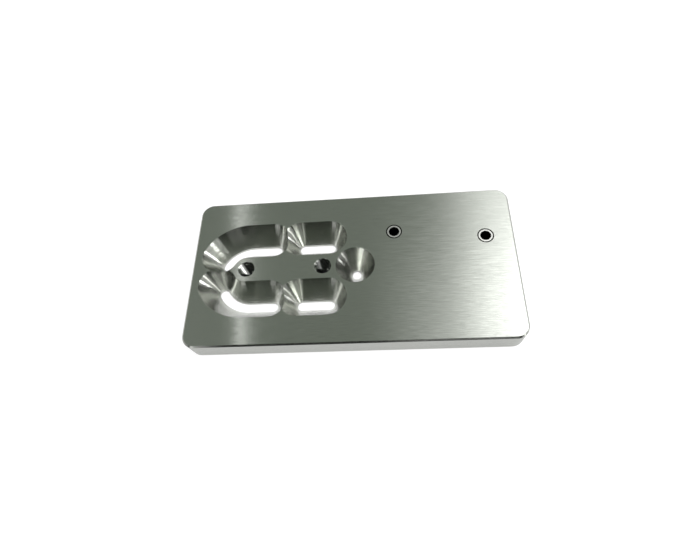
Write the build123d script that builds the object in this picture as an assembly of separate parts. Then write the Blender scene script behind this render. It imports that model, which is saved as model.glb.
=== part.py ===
from build123d import *
import math
import os

# Locating plate, in millimetres: an oval track of V-walled slots, two tapped holes and two pressed-in bushes.
# The origin is the middle of the underside, +X runs along the length and +Z is up.

# Plate blank
plate_length = 200.0
plate_width = 100.0
plate_thickness = 16.0
corner_radius = 8.0  # the four upright corners
edge_chamfer = 1.0  # broken edge all round the top face and the underside

# Tapered cutter that mills every slot and the round funnel
funnel_width = 24.0  # across the mouth, in the top face
slot_width = 6.0  # across the neck, in the underside
neck_height = 1.5  # upright wall left below the slope
overrun = 1.0  # how far every cutter passes beyond the faces

# Oval track, symmetrical about the plate's long centre line
track_margin = 35.0  # left end of the plate to the centre of the bend
track_radius = 20.25  # centre line of the bend, and of each straight row from the plate's centre line
bend_angle = 60.0  # turn of each curved slot round the bend
curved_run = 15.0  # straight stretch of a curved slot
row_gap = 18.5  # centre of a curved slot's straight end to the centre of a short slot's first end
short_run = 17.5  # short slot, from end centre to end centre
funnel_step = 17.0  # last end centre of the short slots to the round funnel

# Tapped holes on the centre line, M10, at the thread's full diameter
thread_diameter = 10.0
thread_mouth = 0.25  # 45 degree chamfer at both ends
tapped_spacing = 48.0  # the first hole is at the centre of the bend

# Pressed-in locating bushes, flush with both faces
bush_diameter = 10.0
bush_bore = 6.0
bush_chamfer = 0.7
bore_round = 0.3
middle_bush_step = 24.5  # from the round funnel, along the plate
middle_bush_row = 22.0  # from the centre line, to the back
end_bush_margin = 17.0  # from the right end of the plate
end_bush_row = 16.0

# Places along the plate that follow from those sizes
bend_x = track_margin - plate_length / 2
curved_end_x = bend_x + curved_run
short_start_x = curved_end_x + row_gap
short_end_x = short_start_x + short_run
funnel_x = short_end_x + funnel_step
bush_places = {
    "locating_bush_middle": (funnel_x + middle_bush_step, middle_bush_row),
    "locating_bush_end": (plate_length / 2 - end_bush_margin, end_bush_row),
}


# One side of the tapered cutter: upright at the neck, then sloping out to the mouth
def cutter_side():
    slope = (funnel_width - slot_width) / 2 / (plate_thickness - neck_height)
    top = plate_thickness + overrun
    return make_face(
        Plane.XZ
        * Polyline(
            (0, -overrun),
            (slot_width / 2, -overrun),
            (slot_width / 2, neck_height),
            (funnel_width / 2 + slope * overrun, top),
            (0, top),
            close=True,
        )
    )


# Both sides: the V section that the cutter leaves behind along its path
def cutter_section():
    side = cutter_side()
    return side + mirror(side, about=Plane.YZ)


# Half cone at the end of a slot, bulging towards its heading in degrees from +X
def slot_end(x, y, heading):
    return Pos(x, y) * Rot(Z=heading - 90) * revolve(cutter_side(), Axis.Z, revolution_arc=180)


# Straight stretch of a slot, running to the right from its first point
def slot_run(x, y, length):
    return Pos(x, y) * Rot(Z=-90) * extrude(cutter_section(), length, dir=(0, 1, 0))


# Stretch of a slot round the bend, from the back row towards the left end of the plate
def slot_bend():
    section = Pos(track_radius, 0) * cutter_section()
    return Pos(bend_x, 0) * Rot(Z=90) * revolve(section, Axis.Z, revolution_arc=bend_angle)


def curved_slot():
    turned = math.radians(90 + bend_angle)
    tip_x = bend_x + track_radius * math.cos(turned)
    tip_y = track_radius * math.sin(turned)
    straight = slot_run(bend_x, track_radius, curved_run) + slot_end(curved_end_x, track_radius, 0)
    return straight + slot_bend() + slot_end(tip_x, tip_y, 180 + bend_angle)


def short_slot():
    run = slot_run(short_start_x, track_radius, short_run)
    return run + slot_end(short_start_x, track_radius, 180) + slot_end(short_end_x, track_radius, 0)


# The cutter plunged in one place leaves a round funnel
def round_funnel():
    return Pos(funnel_x, 0) * revolve(cutter_side(), Axis.Z)


# Bore for the thread with its chamfered mouths
def tapped_hole(x):
    radius = thread_diameter / 2
    flare = radius + thread_mouth + overrun
    profile = make_face(
        Plane.XZ
        * Polyline(
            (0, -overrun),
            (flare, -overrun),
            (radius, thread_mouth),
            (radius, plate_thickness - thread_mouth),
            (flare, plate_thickness + overrun),
            (0, plate_thickness + overrun),
            close=True,
        )
    )
    return Pos(x, 0) * revolve(profile, Axis.Z)


def bush_seat(x, y):
    height = plate_thickness + 2 * overrun
    return Pos(x, y, plate_thickness / 2) * Cylinder(bush_diameter / 2, height)


def plate_blank():
    outline = RectangleRounded(plate_length, plate_width, corner_radius)
    blank = extrude(outline, plate_thickness)
    rims = blank.faces().sort_by(Axis.Z)[0].edges() + blank.faces().sort_by(Axis.Z)[-1].edges()
    return chamfer(rims, edge_chamfer)


def plate():
    cut = plate_blank()
    for back_slot in (curved_slot(), short_slot()):
        cut -= back_slot
        cut -= mirror(back_slot, about=Plane.XZ)
    cut -= round_funnel()
    for x in (bend_x, bend_x + tapped_spacing):
        cut -= tapped_hole(x)
    for x, y in bush_places.values():
        cut -= bush_seat(x, y)
    return cut


# Headless bush: chamfered outside to lead into its seat, rounded inside to lead the pin in
def bush():
    blank = Pos(0, 0, plate_thickness / 2) * Cylinder(bush_diameter / 2, plate_thickness)
    body = chamfer(blank.edges().filter_by(GeomType.CIRCLE), bush_chamfer)
    body -= Pos(0, 0, plate_thickness / 2) * Cylinder(bush_bore / 2, plate_thickness + 2 * overrun)
    bore = body.faces().filter_by(GeomType.CYLINDER).sort_by(SortBy.RADIUS)[0]
    return fillet(bore.edges().filter_by(GeomType.CIRCLE), bore_round)


nodes = {"plate": plate()}
for name, (x, y) in bush_places.items():
    nodes[name] = Pos(x, y) * bush()

os.makedirs("parts", exist_ok=True)
for name, solid in nodes.items():
    export_step(solid, f"parts/{name}.step")
    print(name, round(solid.volume, 1))
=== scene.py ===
from math import cos, pi, radians, sin, tan

import bpy
from mathutils import Matrix, Vector


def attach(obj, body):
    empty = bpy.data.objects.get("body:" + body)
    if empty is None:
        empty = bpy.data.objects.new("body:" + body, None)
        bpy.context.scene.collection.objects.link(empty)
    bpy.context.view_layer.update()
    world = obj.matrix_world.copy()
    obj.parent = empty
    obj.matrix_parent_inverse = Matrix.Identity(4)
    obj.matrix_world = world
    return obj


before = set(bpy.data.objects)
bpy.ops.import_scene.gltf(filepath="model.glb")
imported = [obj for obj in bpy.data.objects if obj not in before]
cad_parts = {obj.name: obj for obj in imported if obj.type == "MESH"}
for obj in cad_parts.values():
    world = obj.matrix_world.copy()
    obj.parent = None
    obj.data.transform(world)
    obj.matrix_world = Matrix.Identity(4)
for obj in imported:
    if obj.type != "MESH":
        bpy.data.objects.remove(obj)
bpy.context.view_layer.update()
mm = 0.001  # the scene is in metres
plateHalf = (100, 50)  # mm, half the plate's length and width


# sRGB hex to linear
def hexColour(code, alpha=1.0):
    shares = [int(code[i:i + 2], 16) / 255 for i in (1, 3, 5)]
    return [s / 12.92 if s <= 0.04045 else ((s + 0.055) / 1.055) ** 2.4 for s in shares] + [alpha]


# Adds one node: settings are its properties, inputs are values or sockets to link
def addNode(tree, kind, settings=None, inputs=None):
    node = tree.nodes.new(kind)
    for name, value in (settings or {}).items():
        setattr(node, name, value)
    for name, value in (inputs or {}).items():
        if isinstance(value, bpy.types.NodeSocket):
            tree.links.new(value, node.inputs[name])
        else:
            node.inputs[name].default_value = value
    return node


def newMaterial(name):
    material = bpy.data.materials.new(name)
    material.use_nodes = True
    material.node_tree.nodes.clear()
    return material, material.node_tree


# Camera, at the photograph's viewing angle
cameraView = {
    "place": (24.71, -132.35, 265.89),  # mm
    "azimuth": 11.51,  # degrees, looking along +Y and a little to the left
    "elevation": 63.54,  # degrees down
    "roll": -12.72,
    "lens": 23.894,  # mm
    "sensor": 36.0,  # mm wide
    "near": 5.0,  # mm, nearest thing that shows
}


def addCamera():
    data = bpy.data.cameras.new("camera")
    data.lens = cameraView["lens"]
    data.sensor_width = cameraView["sensor"]
    data.clip_start = cameraView["near"] * mm
    camera = bpy.data.objects.new("camera", data)
    turn = Matrix.Rotation(radians(cameraView["azimuth"]), 4, "Z")
    tilt = Matrix.Rotation(radians(90 - cameraView["elevation"]), 4, "X")
    roll = Matrix.Rotation(radians(cameraView["roll"]), 4, "Z")
    camera.matrix_world = Matrix.Translation(Vector(cameraView["place"]) * mm) @ turn @ tilt @ roll
    bpy.context.scene.collection.objects.link(camera)
    bpy.context.scene.camera = camera


# Plate: aluminium, its faces brushed lengthwise with an 80 grit belt and its slots milled with a tapered
# cutter. The eye gets long soft reflections across the lines, crisp ones along them, and fine uneven streaks.
# On the milled walls the rings of cutter marks, too fine to see, fan the reflections out into bright rays.
plateFinish = {
    "faceDull": "#C6C8C3",  # in the deepest scratches
    "faceBright": "#CBCDC8",
    "wallDull": "#B2B4AE",
    "wallBright": "#C2C4BE",
    "faceRoughness": 0.17,
    "wallRoughness": 0.14,
    "anisotropy": 1.0,
    "patterns": {  # mm along X, Y and Z, then detail
        "streak": ((6.5, 0.5, 0.5), 2.0),  # bundles of scratches, wider than real so that they show
        "line": ((10.0, 0.3, 0.3), 1.0),  # single brushed lines, twice an 80 grit line
        "band": ((14.0, 14.0, 0.8), 2.0),  # rings of one colour on the walls
        "ring": ((14.0, 14.0, 0.02), 1.0),  # cutter marks, about as fine as real ones
    },
    "streakRoughness": 0.5,  # share by which roughness changes between streaks
    "streakWander": 0.013,  # tilt of a streak along the brushing
    "lineTilt": 0.22,  # tilt of a line's flanks across the brushing
    "ringTilt": 1.2,  # tilt of a cutter mark's flanks up and down the wall
    "level": (0.9, 0.99),  # upward part of the normal, from wall to face
    "edge": 1.2,  # mm from the outer sides, so that they and their chamfers count as brushed
    "sideShare": 0.6,  # of the way from milled to brushed on the outer sides
}


def brushedAluminium():
    finish = plateFinish
    material, tree = newMaterial("brushedAluminium")
    place = addNode(tree, "ShaderNodeTexCoord").outputs["Object"]
    normal = addNode(tree, "ShaderNodeNewGeometry").outputs["Normal"]
    up = addNode(tree, "ShaderNodeSeparateXYZ", inputs={0: normal}).outputs["Z"]
    flatness = addNode(tree, "ShaderNodeMath", {"operation": "ABSOLUTE"}, {0: up}).outputs[0]
    low, high = finish["level"]
    level = addNode(
        tree, "ShaderNodeMapRange", {"interpolation_type": "SMOOTHSTEP"},
        {"Value": flatness, "From Min": low, "From Max": high},
    ).outputs["Result"]

    # Across the marks: Y on the brushed faces, up the slope on the milled walls
    lean = addNode(tree, "ShaderNodeVectorMath", {"operation": "SCALE"}, {0: normal, "Scale": up}).outputs[0]
    slope = addNode(
        tree, "ShaderNodeVectorMath", {"operation": "SUBTRACT"}, {0: (0, 0, 1), 1: lean},
    ).outputs[0]
    across = addNode(
        tree, "ShaderNodeMix", {"data_type": "VECTOR"}, {"Factor": level, 4: slope, 5: (0, 1, 0)},
    ).outputs[1]
    across = addNode(tree, "ShaderNodeVectorMath", {"operation": "NORMALIZE"}, {0: across}).outputs[0]

    # The outer sides are brushed too, less evenly than the faces
    spot = addNode(tree, "ShaderNodeSeparateXYZ", inputs={0: place})
    beyond = []
    for axis, half in zip("XY", plateHalf):
        away = addNode(tree, "ShaderNodeMath", {"operation": "ABSOLUTE"}, {0: spot.outputs[axis]}).outputs[0]
        limit = (half - finish["edge"]) * mm
        beyond.append(addNode(
            tree, "ShaderNodeMath", {"operation": "SUBTRACT"}, {0: away, 1: limit},
        ).outputs[0])
    side = addNode(tree, "ShaderNodeMath", {"operation": "MAXIMUM"}, {0: beyond[0], 1: beyond[1]}).outputs[0]
    side = addNode(tree, "ShaderNodeMath", {"operation": "GREATER_THAN"}, {0: side, 1: 0}).outputs[0]
    side = addNode(
        tree, "ShaderNodeMath", {"operation": "MULTIPLY"}, {0: side, 1: finish["sideShare"]},
    ).outputs[0]
    brushed = addNode(tree, "ShaderNodeMath", {"operation": "MAXIMUM"}, {0: level, 1: side}).outputs[0]

    # Noise stretched along the brushing or round the walls
    pattern = {}
    for name, (size, detail) in finish["patterns"].items():
        scaled = addNode(
            tree, "ShaderNodeVectorMath", {"operation": "MULTIPLY"},
            {0: place, 1: tuple(1 / (length * mm) for length in size)},
        ).outputs[0]
        pattern[name] = addNode(
            tree, "ShaderNodeTexNoise", {"noise_dimensions": "3D"},
            {"Vector": scaled, "Scale": 1.0, "Detail": detail},
        ).outputs["Fac"]

    # Flanks of lines and cutter marks tilt the surface across them, and streaks tilt it a little lengthwise
    tilts = {}
    for name, mark in (("lineTilt", "line"), ("ringTilt", "ring"), ("streakWander", "streak")):
        tilts[name] = addNode(
            tree, "ShaderNodeMapRange", {"clamp": False},
            {"Value": pattern[mark], "To Min": -finish[name] / 2, "To Max": finish[name] / 2},
        ).outputs["Result"]
    tilt = addNode(
        tree, "ShaderNodeMix", {"data_type": "FLOAT"},
        {"Factor": brushed, 2: tilts["ringTilt"], 3: tilts["lineTilt"]},
    ).outputs[0]
    push = addNode(
        tree, "ShaderNodeVectorMath", {"operation": "SCALE"}, {0: across, "Scale": tilt},
    ).outputs[0]
    wander = addNode(
        tree, "ShaderNodeMath", {"operation": "MULTIPLY"}, {0: tilts["streakWander"], 1: level},
    ).outputs[0]
    wander = addNode(tree, "ShaderNodeCombineXYZ", inputs={"X": wander}).outputs[0]
    push = addNode(tree, "ShaderNodeVectorMath", {"operation": "ADD"}, {0: push, 1: wander}).outputs[0]
    tilted = addNode(tree, "ShaderNodeVectorMath", {"operation": "ADD"}, {0: normal, 1: push}).outputs[0]
    tilted = addNode(tree, "ShaderNodeVectorMath", {"operation": "NORMALIZE"}, {0: tilted}).outputs[0]

    # Deeper scratches are duller and rougher
    faceColour = addNode(
        tree, "ShaderNodeMix", {"data_type": "RGBA"},
        {"Factor": pattern["streak"], 6: hexColour(finish["faceDull"]), 7: hexColour(finish["faceBright"])},
    ).outputs[2]
    wallColour = addNode(
        tree, "ShaderNodeMix", {"data_type": "RGBA"},
        {"Factor": pattern["band"], 6: hexColour(finish["wallDull"]), 7: hexColour(finish["wallBright"])},
    ).outputs[2]
    colour = addNode(
        tree, "ShaderNodeMix", {"data_type": "RGBA"}, {"Factor": brushed, 6: wallColour, 7: faceColour},
    ).outputs[2]
    streak = addNode(
        tree, "ShaderNodeMix", {"data_type": "FLOAT"}, {"Factor": brushed, 2: 0.5, 3: pattern["streak"]},
    ).outputs[0]
    change = finish["streakRoughness"]
    share = addNode(
        tree, "ShaderNodeMapRange", inputs={"Value": streak, "To Min": 1 + change, "To Max": 1 - change},
    ).outputs["Result"]
    smooth = addNode(
        tree, "ShaderNodeMix", {"data_type": "FLOAT"},
        {"Factor": brushed, 2: finish["wallRoughness"], 3: finish["faceRoughness"]},
    ).outputs[0]
    rough = addNode(tree, "ShaderNodeMath", {"operation": "MULTIPLY"}, {0: smooth, 1: share}).outputs[0]
    shader = addNode(
        tree, "ShaderNodeBsdfPrincipled", {"distribution": "GGX"},
        {
            "Base Color": colour, "Metallic": 1.0, "Roughness": rough,
            "Anisotropic": finish["anisotropy"], "Tangent": across, "Normal": tilted,
        },
    ).outputs["BSDF"]
    addNode(tree, "ShaderNodeOutputMaterial", inputs={"Surface": shader})
    return material


# Bushes: hardened steel, ground to size, its end faces turned. The eye gets a bright ring with fine turned
# lines between the dark bore and the dark groove at the seat, both darkened with painted shade.
bushFinish = {
    "bright": "#D2D2CF",
    "dull": "#C4C4C1",
    # painted shade, on the bore, its rim, the chamfers and by the groove at the seat
    "paintedShade": "#2A2B2A",
    "roughness": 0.32,
    "size": 10.0,  # mm across
    "lineWidth": 0.12,  # mm, turned lines, twice a real one's so that they show close to
    "innerEdge": (3.2, 3.45),  # mm from the axis, from painted shade to bright
    "outerEdge": (4.0, 4.3),  # and to the band of painted shade before the groove
    "outerShare": 0.4,  # unshaded metal left in that band, the rest painted shade
    "level": (0.74, 0.97),  # upward part of the normal, from painted shade to bright
}


def groundSteel():
    finish = bushFinish
    material, tree = newMaterial("groundSteel")

    # Distance from the axis, as a share of the bush's width
    spot = addNode(tree, "ShaderNodeTexCoord").outputs["Generated"]
    spot = addNode(
        tree, "ShaderNodeVectorMath", {"operation": "SUBTRACT"}, {0: spot, 1: (0.5, 0.5, 0.5)},
    ).outputs[0]
    flat = addNode(
        tree, "ShaderNodeVectorMath", {"operation": "MULTIPLY"}, {0: spot, 1: (1, 1, 0)},
    ).outputs[0]
    radius = addNode(tree, "ShaderNodeVectorMath", {"operation": "LENGTH"}, {0: flat}).outputs["Value"]

    line = addNode(
        tree, "ShaderNodeTexNoise", {"noise_dimensions": "1D"},
        {"W": radius, "Scale": finish["size"] / finish["lineWidth"], "Detail": 1.0},
    ).outputs["Fac"]
    turned = addNode(
        tree, "ShaderNodeMix", {"data_type": "RGBA"},
        {"Factor": line, 6: hexColour(finish["dull"]), 7: hexColour(finish["bright"])},
    ).outputs[2]

    # Painted shade on rounded and chamfered edges, on what is upright, round the bore and by the groove
    normal = addNode(tree, "ShaderNodeNewGeometry").outputs["Normal"]
    up = addNode(tree, "ShaderNodeSeparateXYZ", inputs={0: normal}).outputs["Z"]
    up = addNode(tree, "ShaderNodeMath", {"operation": "ABSOLUTE"}, {0: up}).outputs[0]
    low, high = finish["level"]
    clean = addNode(
        tree, "ShaderNodeMapRange", inputs={"Value": up, "From Min": low, "From Max": high},
    ).outputs["Result"]
    for edge, least, most in (("innerEdge", 0, 1), ("outerEdge", 1, finish["outerShare"])):
        low, high = (distance / finish["size"] for distance in finish[edge])
        share = addNode(
            tree, "ShaderNodeMapRange",
            inputs={"Value": radius, "From Min": low, "From Max": high, "To Min": least, "To Max": most},
        ).outputs["Result"]
        clean = addNode(tree, "ShaderNodeMath", {"operation": "MULTIPLY"}, {0: clean, 1: share}).outputs[0]
    colour = addNode(
        tree, "ShaderNodeMix", {"data_type": "RGBA"},
        {"Factor": clean, 6: hexColour(finish["paintedShade"]), 7: turned},
    ).outputs[2]
    shader = addNode(
        tree, "ShaderNodeBsdfPrincipled", {"distribution": "GGX"},
        {"Base Color": colour, "Metallic": 1.0, "Roughness": finish["roughness"]},
    ).outputs["BSDF"]
    addNode(tree, "ShaderNodeOutputMaterial", inputs={"Surface": shader})
    return material


# Threads: the plate's aluminium as the tap leaves it, shiny, with dark patches of painted shade. The eye gets
# a dark hole with one bright line stepping down its ridges.
threadFinish = {
    "clean": "#DADCD8",
    # painted shade, in patches that darken the hole
    "paintedShade": "#3C3E3B",
    "roughness": 0.07,
    "patch": 0.8,  # mm, painted shade lies in patches about half a pitch wide
    "patchDetail": 2.0,
}


def tappedAluminium():
    finish = threadFinish
    material, tree = newMaterial("tappedAluminium")
    place = addNode(tree, "ShaderNodeTexCoord").outputs["Object"]
    patch = addNode(
        tree, "ShaderNodeTexNoise", {"noise_dimensions": "3D"},
        {"Vector": place, "Scale": 1 / (finish["patch"] * mm), "Detail": finish["patchDetail"]},
    ).outputs["Fac"]
    colour = addNode(
        tree, "ShaderNodeMix", {"data_type": "RGBA"},
        {"Factor": patch, 6: hexColour(finish["paintedShade"]), 7: hexColour(finish["clean"])},
    ).outputs[2]
    shader = addNode(
        tree, "ShaderNodeBsdfPrincipled", {"distribution": "GGX"},
        {"Base Color": colour, "Metallic": 1.0, "Roughness": finish["roughness"]},
    ).outputs["BSDF"]
    addNode(tree, "ShaderNodeOutputMaterial", inputs={"Surface": shader})
    return material


# Thread ridges of the two tapped holes, M10 x 1.5
thread = {
    "places": {"thread_left": -65.0, "thread_right": -17.0},  # mm along X, both on the centre line
    "root": 5.0,  # mm, radius
    "crest": 4.25,  # mm, radius of the tap drill
    "pitch": 1.5,  # mm
    "crestFlat": 0.375,
    "rootFlat": 0.1875,
    "mouth": 5.25,  # mm, radius of the 90 degree countersink at the face
    "height": 16.0,  # mm, through the whole plate
    "sunk": 0.02,  # mm, roots into the plate so that no gap shows
    "steps": 72,  # a turn
    "flankPoints": 5,
    "sharpAngle": 25,  # degrees, edges that shade sharp
}


# Radius and rise of each point across the ridge, from its lower root to its upper root
def ridgeSection():
    halfRoot = (thread["pitch"] - thread["rootFlat"]) / 2
    halfCrest = thread["crestFlat"] / 2
    points = []
    count = thread["flankPoints"]
    for i in range(count + 1):
        share = i / count
        radius = thread["root"] + (thread["crest"] - thread["root"]) * share
        points.append((radius, -halfRoot + (halfRoot - halfCrest) * share))
    return points + [(r, -z) for r, z in reversed(points)]


def addThread(name, x):
    section = ridgeSection()
    turns = thread["height"] / thread["pitch"] + 1
    total = int(turns * thread["steps"])
    vertices = []
    for step in range(total + 1):
        angle = 2 * pi * step / thread["steps"]
        rise = (step / thread["steps"] - 0.5) * thread["pitch"]
        for radius, offset in section:
            z = min(max(rise + offset, 0), thread["height"])
            cone = thread["mouth"] - min(z, thread["height"] - z)
            r = max(radius, cone)
            if r >= thread["root"] or radius == thread["root"]:
                r += thread["sunk"]
            vertices.append(((x + r * cos(angle)) * mm, r * sin(angle) * mm, z * mm))
    width = len(section)
    faces = []
    for step in range(total):
        first = step * width
        for i in range(first, first + width - 1):
            faces.append((i, i + width, i + width + 1, i + 1))
        faces.append((first + width - 1, first + 2 * width - 1, first + width, first))
    faces.append(tuple(range(width)))
    faces.append(tuple(reversed(range(total * width, total * width + width))))
    mesh = bpy.data.meshes.new(name)
    mesh.from_pydata(vertices, [], faces)
    mesh.validate()
    mesh.update()
    piece = bpy.data.objects.new(name, mesh)
    bpy.context.scene.collection.objects.link(piece)
    for polygon in mesh.polygons:
        polygon.use_smooth = True
    mesh.set_sharp_from_angle(angle=radians(thread["sharpAngle"]))
    return piece


# Floor: plain and pale, white to the camera and a little darker as the metal mirrors it
floorFinish = {
    "half": 2.0,  # m
    "drop": 0.05,  # mm, below the plate so that the two faces don't fight
    "matt": 0.2,  # grey that takes the lamps' light and the shadow
    "seen": 0.96,  # glow for the camera, 1 is white
    "mirrored": 0.66,  # glow in the metal
    "mirroredUnder": 1.25,  # and under the slots, where light gathers
    "plateBorder": 6.0,  # mm inside the plate's outline, from one to the other
    "samples": 16,  # rays that look for the plate
    "boreReach": 30.0,  # mm, up the narrow bores
    "boreOpen": (0.15, 0.3),  # open share, from a bore to a slot
    "footReach": 1.2,  # mm, round the plate's foot
    "footOpen": (0.4, 0.8),  # open share, from dark to full glow
}


def addFloor():
    finish = floorFinish
    half = finish["half"]
    corners = [(-half, -half, 0), (half, -half, 0), (half, half, 0), (-half, half, 0)]
    mesh = bpy.data.meshes.new("floor")
    mesh.from_pydata(corners, [], [(0, 1, 2, 3)])
    floor = bpy.data.objects.new("floor", mesh)
    floor.location.z = -finish["drop"] * mm
    bpy.context.scene.collection.objects.link(floor)
    material, tree = newMaterial("paleFloor")
    path = addNode(tree, "ShaderNodeLightPath")

    # No light gets down the narrow bores, so the floor is dark under them. In the metal it also darkens close
    # to the plate's foot.
    shares = {}
    for name in ("bore", "foot"):
        openShare = addNode(
            tree, "ShaderNodeAmbientOcclusion", {"samples": finish["samples"]},
            {"Distance": finish[name + "Reach"] * mm},
        ).outputs["AO"]
        low, high = finish[name + "Open"]
        shares[name] = addNode(
            tree, "ShaderNodeMapRange", inputs={"Value": openShare, "From Min": low, "From Max": high},
        ).outputs["Result"]

    # The glow in the metal changes at the plate's outline
    place = addNode(tree, "ShaderNodeTexCoord").outputs["Object"]
    spot = addNode(tree, "ShaderNodeSeparateXYZ", inputs={0: place})
    beyond = []
    for axis, half in zip("XY", plateHalf):
        away = addNode(tree, "ShaderNodeMath", {"operation": "ABSOLUTE"}, {0: spot.outputs[axis]}).outputs[0]
        beyond.append(addNode(
            tree, "ShaderNodeMath", {"operation": "SUBTRACT"}, {0: away, 1: half * mm},
        ).outputs[0])
    outside = addNode(
        tree, "ShaderNodeMath", {"operation": "MAXIMUM"}, {0: beyond[0], 1: beyond[1]},
    ).outputs[0]
    mirrored = addNode(
        tree, "ShaderNodeMapRange",
        inputs={
            "Value": outside, "From Min": -finish["plateBorder"] * mm, "From Max": 0,
            "To Min": finish["mirroredUnder"], "To Max": finish["mirrored"],
        },
    ).outputs["Result"]
    for factor in (shares["foot"], path.outputs["Is Glossy Ray"]):
        mirrored = addNode(
            tree, "ShaderNodeMath", {"operation": "MULTIPLY"}, {0: mirrored, 1: factor},
        ).outputs[0]
    glow = addNode(
        tree, "ShaderNodeMath", {"operation": "MULTIPLY_ADD"},
        {0: path.outputs["Is Camera Ray"], 1: finish["seen"], 2: mirrored},
    ).outputs[0]
    glow = addNode(tree, "ShaderNodeMath", {"operation": "MULTIPLY"}, {0: glow, 1: shares["bore"]}).outputs[0]
    light = addNode(tree, "ShaderNodeEmission", inputs={"Color": (1, 1, 1, 1), "Strength": glow}).outputs[0]
    grey = finish["matt"]
    matt = addNode(tree, "ShaderNodeBsdfDiffuse", inputs={"Color": (grey, grey, grey, 1)}).outputs[0]
    both = addNode(tree, "ShaderNodeAddShader", inputs={0: light, 1: matt}).outputs[0]
    addNode(tree, "ShaderNodeOutputMaterial", inputs={"Surface": both})
    mesh.materials.append(material)


# The room: dim, lighter overhead and towards the back, and a plain white backdrop to the camera
room = {
    "dim": 0.025,
    "light": 0.27,  # added to dim
    "colour": "#E7F2E3",
    "rise": (0.0, 0.85),  # height of a direction, from dim to light
    "depth": (-0.25, 0.3),  # its part towards the back
    "seen": 1.0,  # glow for the camera, 1 is white
}


def addWorld():
    world = bpy.data.worlds.new("studio")
    world.use_nodes = True
    tree = world.node_tree
    tree.nodes.clear()
    towards = addNode(tree, "ShaderNodeTexCoord").outputs["Generated"]
    towards = addNode(tree, "ShaderNodeSeparateXYZ", inputs={0: towards})
    shares = []
    for axis, (low, high) in (("Z", room["rise"]), ("Y", room["depth"])):
        shares.append(addNode(
            tree, "ShaderNodeMapRange", {"interpolation_type": "SMOOTHSTEP"},
            {"Value": towards.outputs[axis], "From Min": low, "From Max": high},
        ).outputs["Result"])
    share = addNode(
        tree, "ShaderNodeMath", {"operation": "MULTIPLY"}, {0: shares[0], 1: shares[1]},
    ).outputs[0]
    glow = addNode(
        tree, "ShaderNodeMath", {"operation": "MULTIPLY_ADD"}, {0: share, 1: room["light"], 2: room["dim"]},
    ).outputs[0]
    lit = addNode(
        tree, "ShaderNodeBackground", inputs={"Color": hexColour(room["colour"]), "Strength": glow},
    ).outputs[0]
    white = addNode(
        tree, "ShaderNodeBackground", inputs={"Color": (1, 1, 1, 1), "Strength": room["seen"]},
    ).outputs[0]
    isSeen = addNode(tree, "ShaderNodeLightPath").outputs["Is Camera Ray"]
    both = addNode(tree, "ShaderNodeMixShader", inputs={0: isSeen, 1: lit, 2: white}).outputs[0]
    addNode(tree, "ShaderNodeOutputWorld", inputs={"Surface": both})
    bpy.context.scene.world = world


# Softboxes round the plate, all turned to its middle. Those that the top face mirrors are placed by how far
# they lean from overhead towards +X, and then back towards +Y. The others have an azimuth, from +Y towards
# +X, and a height up from the floor. Spin turns a box's far end towards -X. All of these, and wide and tall,
# are in degrees. Glow 1 looks white in a mirror. Fade is the share of each half that dims to its edge.
softboxes = {
    "key": {"lean": 24, "back": 4, "wide": 58, "tall": 64, "glow": 1.3, "fade": (1.0, 0.5), "spin": -3},
    "keyBar": {"lean": 15, "back": 20, "wide": 16, "tall": 9, "glow": 1.9, "fade": (1.0, 0.4)},
    "keyFar": {"lean": 28, "back": 11, "wide": 23, "tall": 44, "glow": 6.6, "fade": (0.5, 0.4)},
    "strip": {"lean": -19, "back": 26, "wide": 1.2, "tall": 66, "glow": 1.5, "fade": (0.7, 0.3), "spin": 6},
    "rightLow": {"azimuth": 89, "height": 18, "wide": 14, "tall": 14, "glow": 12.0, "fade": (0.4, 0.4)},
    "rightMid": {"azimuth": 118, "height": 36, "wide": 8, "tall": 22, "glow": 5.5, "fade": (0.4, 0.4)},
    "rightCorner": {"azimuth": 131, "height": 38, "wide": 6, "tall": 14, "glow": 3.5, "fade": (0.4, 0.4)},
    "rightFront": {"azimuth": 119, "height": 12, "wide": 8, "tall": 22, "glow": 2.6, "fade": (0.4, 0.4)},
    "rightWall": {"azimuth": 102, "height": 13, "wide": 66, "tall": 50, "glow": 0.75, "fade": (0.3, 0.3)},
    "rightHigh": {"azimuth": 75, "height": 56, "wide": 13, "tall": 16, "glow": 6.0, "fade": (0.4, 0.4)},
    "backKey": {"lean": 15.5, "back": 43, "wide": 24, "tall": 35, "glow": 1.08, "fade": (1.0, 0.4)},
    "left": {"azimuth": -63, "height": 28, "wide": 20, "tall": 10, "glow": 3.6, "fade": (0.4, 0.4)},
    "leftHigh": {"azimuth": -121, "height": 59, "wide": 16, "tall": 9, "glow": 2.5, "fade": (0.4, 0.4)},
    "frontLeft": {"azimuth": -145, "height": 13, "wide": 25, "tall": 24, "glow": 1.1, "fade": (0.4, 0.4)},
    "frontHigh": {"azimuth": 166, "height": 29, "wide": 30, "tall": 18, "glow": 0.45, "fade": (0.4, 0.4)},
}
lampDistance = 5.0  # m


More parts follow.
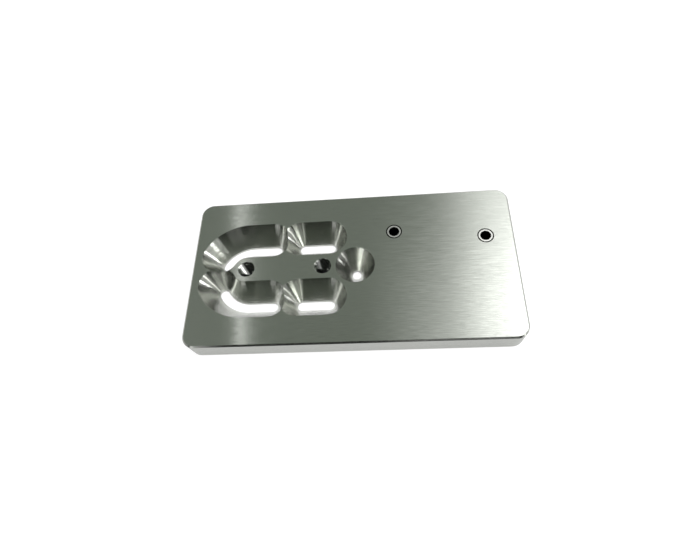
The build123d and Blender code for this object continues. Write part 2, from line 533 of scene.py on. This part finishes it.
def addSoftbox(name):
    box = softboxes[name]
    width = 2 * lampDistance * tan(radians(box["wide"] / 2))
    height = 2 * lampDistance * tan(radians(box["tall"] / 2))
    data = bpy.data.lights.new(name, "AREA")
    data.shape = "RECTANGLE"
    data.size = width
    data.size_y = height
    data.energy = box["glow"] * pi * width * height
    data.use_nodes = True
    tree = data.node_tree
    tree.nodes.clear()
    spot = addNode(tree, "ShaderNodeNewGeometry").outputs["Parametric"]
    spot = addNode(tree, "ShaderNodeSeparateXYZ", inputs={0: spot})
    dims = []
    for side, fade in zip("XY", box["fade"]):
        inward = addNode(
            tree, "ShaderNodeMath", {"operation": "PINGPONG"}, {0: spot.outputs[side], 1: 0.5},
        ).outputs[0]
        dims.append(addNode(
            tree, "ShaderNodeMapRange", {"interpolation_type": "SMOOTHSTEP"},
            {"Value": inward, "From Max": 0.5 * fade},
        ).outputs["Result"])
    dim = addNode(tree, "ShaderNodeMath", {"operation": "MULTIPLY"}, {0: dims[0], 1: dims[1]}).outputs[0]
    light = addNode(tree, "ShaderNodeEmission", inputs={"Strength": dim}).outputs[0]
    addNode(tree, "ShaderNodeOutputLight", inputs={"Surface": light})
    lamp = bpy.data.objects.new(name, data)
    if "lean" in box:
        lean = radians(box["lean"])
        back = radians(box["back"])
        away = Vector((sin(lean), cos(lean) * sin(back), cos(lean) * cos(back)))
        level = Vector((0, 1, 0)).cross(away).normalized()
    else:
        azimuth = radians(box["azimuth"])
        rise = radians(box["height"])
        away = Vector((cos(rise) * sin(azimuth), cos(rise) * cos(azimuth), sin(rise)))
        level = Vector((0, 0, 1)).cross(away).normalized()
    turn = Matrix((level, away.cross(level), away)).transposed().to_4x4()
    turn = turn @ Matrix.Rotation(radians(box.get("spin", 0)), 4, "Z")
    lamp.matrix_world = Matrix.Translation(away * lampDistance) @ turn
    bpy.context.scene.collection.objects.link(lamp)


addCamera()
addFloor()
addWorld()
for name in softboxes:
    addSoftbox(name)
print("studio is lit")

plateMetal = brushedAluminium()
bushMetal = groundSteel()
threadMetal = tappedAluminium()
for name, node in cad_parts.items():
    node.material_slots[0].material = bushMetal if "bush" in name else plateMetal
print("materials are on")

for name, x in thread["places"].items():
    ridge = addThread(name, x)
    ridge.data.materials.append(threadMetal)
    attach(ridge, "root")
print("threads are cut")

bpy.context.scene.view_settings.view_transform = "Standard"
